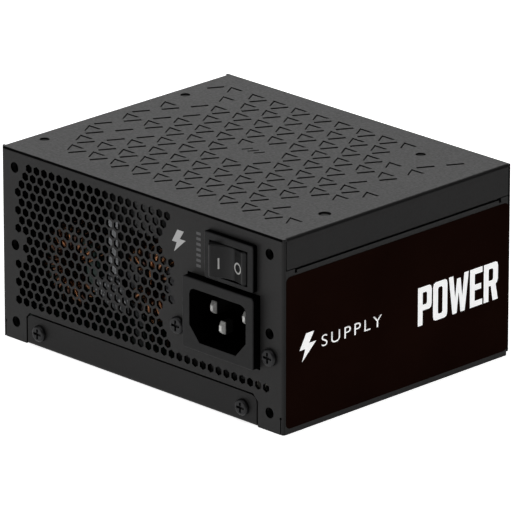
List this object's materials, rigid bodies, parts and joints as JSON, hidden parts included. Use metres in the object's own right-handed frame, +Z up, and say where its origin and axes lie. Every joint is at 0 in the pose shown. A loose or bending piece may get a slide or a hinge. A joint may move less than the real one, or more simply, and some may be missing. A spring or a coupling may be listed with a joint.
{
  "type": "power supply unit",
  "caption": "Small-form-factor modular power supply: black folded steel case with slitted fan cover, honeycomb rear, mains inlet, rocker switch and cable sockets.",
  "frame": {"origin": "middle of the case's underside, on the surface it stands on", "axes": "+Z up; -Y out of the rear panel with the mains inlet; +Y out of the cable socket panel; +X to the right when the rear panel is looked at"},
  "size_m": [0.1252, 0.107, 0.0635],
  "materials": {
    "board_laminate": "coated fibreglass board",
    "bronze": "sintered bronze",
    "capacitor_sleeve": "dark sleeve on an aluminium can",
    "case_black": "black powder coat, fine texture",
    "choke_core": "epoxy coated powder core",
    "component_black": "moulded epoxy",
    "contact_brass": "plated contact",
    "copper_winding": "enamelled copper wire",
    "disc_blue": "lacquered ceramic disc",
    "earth_cover": "green and yellow insulated lead",
    "ferrite": "sintered dark grey",
    "fuse_ceramic": "ceramic tube with metal caps",
    "heatsink": "mill finish",
    "insulation_film": "clear insulating sheet",
    "label_film": "dark printed polyester film",
    "lead_cover": "insulated stranded lead",
    "mark_white": "inlaid white",
    "moulded_black": "moulded black, light grain",
    "pin_nickel": "bright nickel",
    "plug_white": "natural nylon",
    "rocker_black": "smooth moulded black",
    "screw_black": "black oxide steel",
    "steel": "bright steel",
    "tape_yellow": "polyester tape over wire"
  },
  "bodies": {
    "case": {"board_screws": "steel", "board_standoffs": "contact_brass", "bottom_cover": "case_black", "bridge_rectifier": "component_black", "bulk_capacitor": "capacitor_sleeve", "case_wrap": "case_black", "contact_pins": "contact_brass", "earth_lead": "earth_cover", "fan_bearing": "bronze", "fan_board": "board_laminate", "fan_frame": "moulded_black", "fan_header": "plug_white", "fan_lead": "lead_cover", "fan_plug": "plug_white", "fan_screws": "screw_black", "fan_stator": "steel", "front_screws": "screw_black", "fuse": "fuse_ceramic", "inlet_body": "moulded_black", "inlet_pins": "pin_nickel", "inlet_screws": "screw_black", "insulation_sheet": "insulation_film", "line_choke_core": "ferrite", "line_choke_winding": "copper_winding", "main_board": "board_laminate", "mains_leads": "lead_cover", "modular_board": "board_laminate", "output_capacitors": "heatsink", "pfc_choke_core": "choke_core", "pfc_choke_winding": "copper_winding", "power_transistors": "component_black", "primary_heatsink": "heatsink", "relay": "component_black", "secondary_heatsink": "heatsink", "side_label_left": "label_film", "side_label_right": "label_film", "socket_10pin": "moulded_black", "socket_12pin": "moulded_black", "socket_18pin": "moulded_black", "sockets_6pin": "moulded_black", "sockets_8pin": "moulded_black", "spec_label": "label_film", "standby_transformer": "tape_yellow", "switch_housing": "moulded_black", "switch_terminals": "pin_nickel", "tab_screws": "screw_black", "thermistor": "disc_blue", "top_cover": "case_black", "transformer_base": "component_black", "transformer_core": "ferrite", "transformer_winding": "tape_yellow", "upright_boards": "board_laminate", "x_capacitors": "component_black", "y_capacitors": "disc_blue"},
    "rotor": {"fan_rotor": "moulded_black", "rotor_yoke": "steel", "rotor_magnet": "ferrite", "fan_shaft": "steel"},
    "rocker": {"switch_rocker": "rocker_black", "rocker_marks": "mark_white"}
  },
  "joints": [
    {"name": "fan_spin", "type": "hinge", "parent": "case", "child": "rotor", "pos_m": [-0.003, 0.001, 0.0555], "axis": [0, 0, 1], "continuous": true},
    {"name": "rocker_tilt", "type": "hinge", "parent": "case", "child": "rocker", "pos_m": [0.0405, -0.0495, 0.0509], "axis": [0, 0, -1], "range_deg": [0, 16]}
  ]
}
